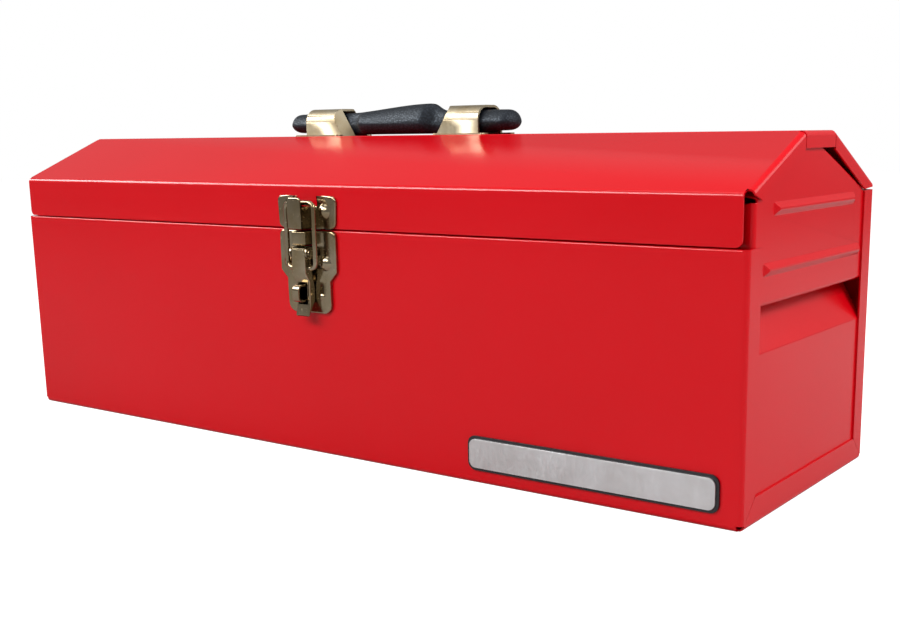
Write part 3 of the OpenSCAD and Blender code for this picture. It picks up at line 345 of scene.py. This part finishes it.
red_enamel = finish_material(
    "gloss_red_enamel", sprayed_enamel,
    {"Colour": (0.61, 0.0006, 0.006, 1), "Thick colour": (0.56, 0.0005, 0.004, 1), "Gloss": 0.2},
    {"Specular IOR Level": 0.28, "IOR": 1.5}, bump=0.1, depth=0.00004)
latch_plate = finish_material(
    "warm_nickel_plate", bright_plating,
    {"Warm": (0.27, 0.205, 0.115, 1), "Cool": (0.36, 0.3, 0.21, 1), "Gloss": 0.16},
    {"Metallic": 1.0}, bump=0.12, depth=0.00003)
bracket_plate = finish_material(
    "dull_nickel_plate", bright_plating,
    {"Warm": (0.3, 0.235, 0.14, 1), "Cool": (0.37, 0.32, 0.23, 1), "Gloss": 0.43},
    {"Metallic": 1.0}, bump=0.02, depth=0.00002)
zinc_steel = finish_material(
    "zinc_plate", bright_plating,
    {"Warm": (0.5, 0.49, 0.47, 1), "Cool": (0.58, 0.59, 0.61, 1), "Gloss": 0.28},
    {"Metallic": 1.0}, bump=0.15, depth=0.00003)
grip_skin = finish_material(
    "pebbled_black_grip", moulded_grain,
    {"Scale": 900.0, "Raised colour": (0.012, 0.014, 0.02, 1), "Crease colour": (0.003, 0.003, 0.005, 1)},
    {"Specular IOR Level": 0.3, "Specular Tint": (0.75, 0.88, 1.0, 1)}, bump=0.5, depth=0.00018)
plate_backing = finish_material(
    "gloss_black_backing", sprayed_enamel,
    {"Colour": (0.012, 0.012, 0.014, 1), "Thick colour": (0.008, 0.008, 0.01, 1), "Gloss": 0.2},
    {"Specular IOR Level": 0.5}, bump=0.1, depth=0.00003)
plate_face = finish_material(
    "satin_silver_face", bright_plating,
    {"Warm": (0.62, 0.62, 0.62, 1), "Cool": (0.7, 0.71, 0.72, 1), "Gloss": 0.36},
    {"Metallic": 1.0}, bump=0.12, depth=0.00003)

finish_of_slot = {"enamel": red_enamel, "plated": latch_plate, "steel": zinc_steel, "grip": grip_skin,
                  "plate_black": plate_backing, "plate_bright": plate_face}


# ---------- rolled edges of the latch ----------

def at(value, place):
    return abs(value - place) < same_place


def base_rim(p):
    """The base plate's outer edge, apart from its bridge and the corners of its step."""
    wide = p.z > wide_low_z and abs(p.x) > wide_rim_x
    foot = p.z < foot_high_z and abs(p.x) > foot_rim_x
    top = p.z > top_rim_z and abs(p.x) > bridge_half
    return at(p.y, front_y - base_proud) and (wide or foot or top or p.z < foot_low_z)


def keeper_rim(p):
    return at(p.y, front_y - keeper_proud) and abs(p.x) > wing_x


def boxed_side(p):
    return at(abs(p.x), latch_half) and p.y < front_y - hook_proud


def lever_side(p):
    """The long edges of the lever's sides, away from its two pivots."""
    out = p.y - (front_y - pivot_proud)
    nearest = min(math.hypot(out, p.z - z) for z in (fulcrum_z, bail_pivot_z))
    return at(abs(p.x), latch_half) and p.y < front_y - lever_proud and nearest > pivot_round


# Which edges are rolled, and over how broad a radius
rolled = {
    "latch_base": [(0.0009, base_rim), (0.0007, boxed_side)],
    "keeper_plate": [(0.0008, keeper_rim), (0.0008, boxed_side)],
    "latch_lever": [(0.0007, lever_side)]}


# ---------- pieces ----------

def dressing(node):
    """How a node's edges are eased and its bends smoothed."""
    if node in rolled:
        return {"edge": latch_edge, "rims": rolled[node]}
    if node.startswith("handle_bracket"):
        return {"edge": bracket_edge, "segments": 3, "angle": 18, "smooth": 40}
    if node.startswith("end_panel"):
        return {"edge": panel_edge, "angle": 22, "smooth": 18}
    if node.endswith("rivets"):
        return {"smooth": 60}
    if slot_of[node] in ("plated", "steel"):
        return {"edge": small_edge}
    return {"edge": sheet_edge}


for node in nodes:
    if node == "handle_grip":
        continue
    material = bracket_plate if "bracket" in node else finish_of_slot[slot_of[node]]
    finish_piece(dressed_copy(node, **dressing(node)), material)

# The moulded grip has no sharp edge, so it is rounded all over
grip = dressed_copy("handle_grip")
pick(grip)
rounder = grip.modifiers.new("rounder", "SUBSURF")
rounder.levels = 1
rounder.render_levels = 1
apply_modifiers(grip)
bpy.ops.object.shade_smooth()
finish_piece(grip, grip_skin)


# ---------- floor and backdrop ----------

floor_size = 8
# The floor's own grey, and the glow that brings it up to white for the camera and keeps its shadow
floor_grey = (0.42, 0.42, 0.42, 1)
floor_glow = 0.91
# The light that the surroundings throw on the object; to the camera they are white
room_light = 0.3
white = (1, 1, 1, 1)

clear_selection()
bpy.ops.mesh.primitive_plane_add(size=floor_size, location=(0, 0, 0))
floor = bpy.context.object
floor.name = "studio_floor"
pale_floor = bpy.data.materials.new("pale_floor")
tree = emptied_tree(pale_floor)
out = tree.nodes.new("ShaderNodeOutputMaterial")
matt = add_node(tree, "ShaderNodeBsdfDiffuse", {"Color": floor_grey})
glow = add_node(tree, "ShaderNodeEmission", {"Color": white})
both = tree.nodes.new("ShaderNodeAddShader")
path = tree.nodes.new("ShaderNodeLightPath")
level = add_node(tree, "ShaderNodeMath", {1: floor_glow}, operation="MULTIPLY")
wire(tree, path, "Is Camera Ray", level, 0)
wire(tree, level, 0, glow, "Strength")
wire(tree, matt, 0, both, 0)
wire(tree, glow, 0, both, 1)
wire(tree, both, 0, out, "Surface")
floor.data.materials.append(pale_floor)

scene = bpy.context.scene
studio = bpy.data.worlds.new("studio")
scene.world = studio
tree = emptied_tree(studio)
out = tree.nodes.new("ShaderNodeOutputWorld")
soft = add_node(tree, "ShaderNodeBackground", {"Color": white, "Strength": room_light})
plain = add_node(tree, "ShaderNodeBackground", {"Color": white, "Strength": 1.0})
swap = tree.nodes.new("ShaderNodeMixShader")
path = tree.nodes.new("ShaderNodeLightPath")
wire(tree, path, "Is Camera Ray", swap, 0)
wire(tree, soft, 0, swap, 1)
wire(tree, plain, 0, swap, 2)
wire(tree, swap, 0, out, "Surface")


# ---------- lamps ----------

box_middle = (0, 0, 0.1)
lid_middle = (0, 0, 0.12)
end_middle = (0.24, 0, 0.1)
floor_beyond_end = (0.45, 0.3, 0.0)


def soft_light(name, place, aim, power, width, height):
    data = bpy.data.lights.new(name, "AREA")
    data.shape = "RECTANGLE"
    data.size = width
    data.size_y = height
    data.energy = power
    lamp = bpy.data.objects.new(name, data)
    scene.collection.objects.link(lamp)
    lamp.location = place
    lamp.rotation_euler = (Vector(aim) - Vector(place)).to_track_quat("-Z", "Y").to_euler()
    return lamp


soft_light("key_strip", (-0.3, -1.5, 1.2), box_middle, power=31.0, width=2.2, height=0.5)
soft_light("top_box", (0.05, -0.1, 1.35), lid_middle, power=5.6, width=1.3, height=0.8)
soft_light("side_box", (1.3, 0.25, 1.1), end_middle, power=17.5, width=0.8, height=0.6)
soft_light("right_wash", (0.95, 0.75, 0.55), floor_beyond_end, power=2.3, width=0.7, height=0.5)
# The glint is only seen mirrored, as bright lines on the bends and bright spots on the plating
glint = soft_light("glint_strip", (-1.1, -0.87, 1.0), box_middle, power=38.0, width=1.8, height=0.5)
glint.visible_diffuse = False


# ---------- camera ----------

# Angles in radians, and the place of the eye
turn = 0.621558813
rise = 0.202809675
roll = -0.012957194
eye_x = 0.443487
eye_y = -0.522528
eye_z = 0.165512
# The picture in pixels: its size, the focal length and the middle of the lens
picture_w = 900
picture_h = 640
focal = 1211.789
middle_x = 503.167
middle_y = 382.259
# The film's width in millimetres
film_w = 36.0

back = Vector((math.sin(turn) * math.cos(rise), -math.cos(turn) * math.cos(rise), math.sin(rise)))
level_right = (-back).cross(Vector((0, 0, 1))).normalized()
level_up = level_right.cross(-back)
right = math.cos(roll) * level_right + math.sin(roll) * level_up
up = -math.sin(roll) * level_right + math.cos(roll) * level_up
eye = bpy.data.cameras.new("camera")
eye.sensor_width = film_w
eye.lens = focal / picture_w * film_w
eye.shift_x = (picture_w / 2 - middle_x) / picture_w
eye.shift_y = (middle_y - picture_h / 2) / picture_w
eye.clip_start = 0.01
camera = bpy.data.objects.new("camera", eye)
scene.collection.objects.link(camera)
camera.matrix_world = Matrix((
    (right.x, up.x, back.x, eye_x),
    (right.y, up.y, back.y, eye_y),
    (right.z, up.z, back.z, eye_z),
    (0, 0, 0, 1)))
scene.camera = camera
scene.view_settings.view_transform = "Standard"
